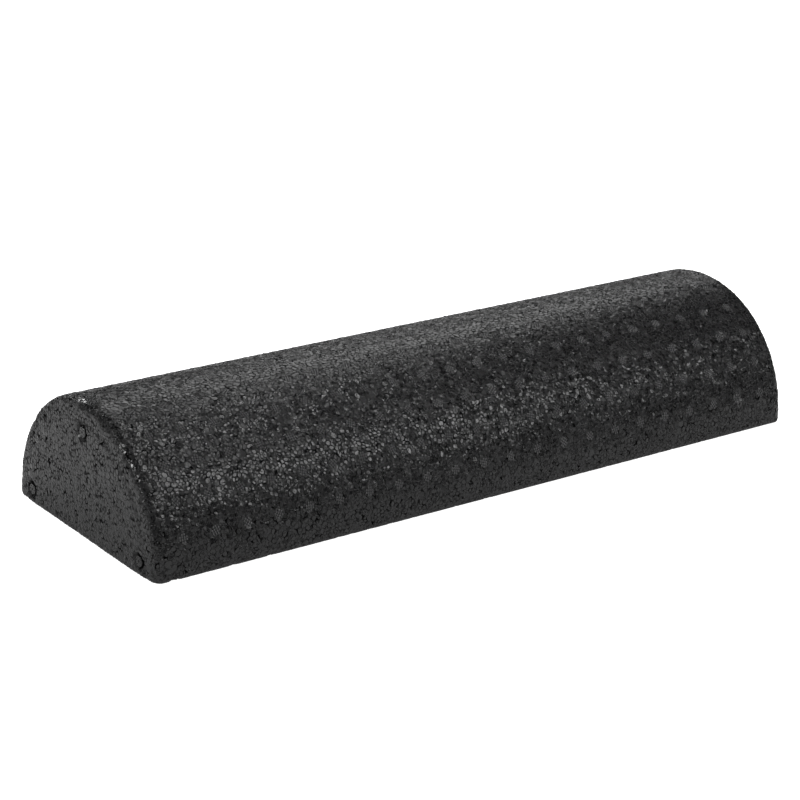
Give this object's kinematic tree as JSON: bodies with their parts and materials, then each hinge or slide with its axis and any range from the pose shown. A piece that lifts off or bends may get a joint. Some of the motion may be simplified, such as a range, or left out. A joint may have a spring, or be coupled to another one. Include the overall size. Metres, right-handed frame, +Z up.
{
  "type": "half-round foam roller",
  "caption": "Half-round roller of moulded bead foam, with a flat face to stand on, rounded end rims and small round vent marks.",
  "frame": {"origin": "middle of the flat face, on the surface that the roller stands on", "axes": "+X along the roller, its longest side; +Y across it; +Z up from the flat face to the crown, its shortest side"},
  "size_m": [0.4572, 0.1524, 0.0786],
  "materials": {
    "bead_foam": "black expanded polypropylene beads fused in a steam mould, satin bead skins with fine gaps between them"
  },
  "bodies": {
    "root": {"foam_body": "bead_foam"}
  },
  "joints": []
}
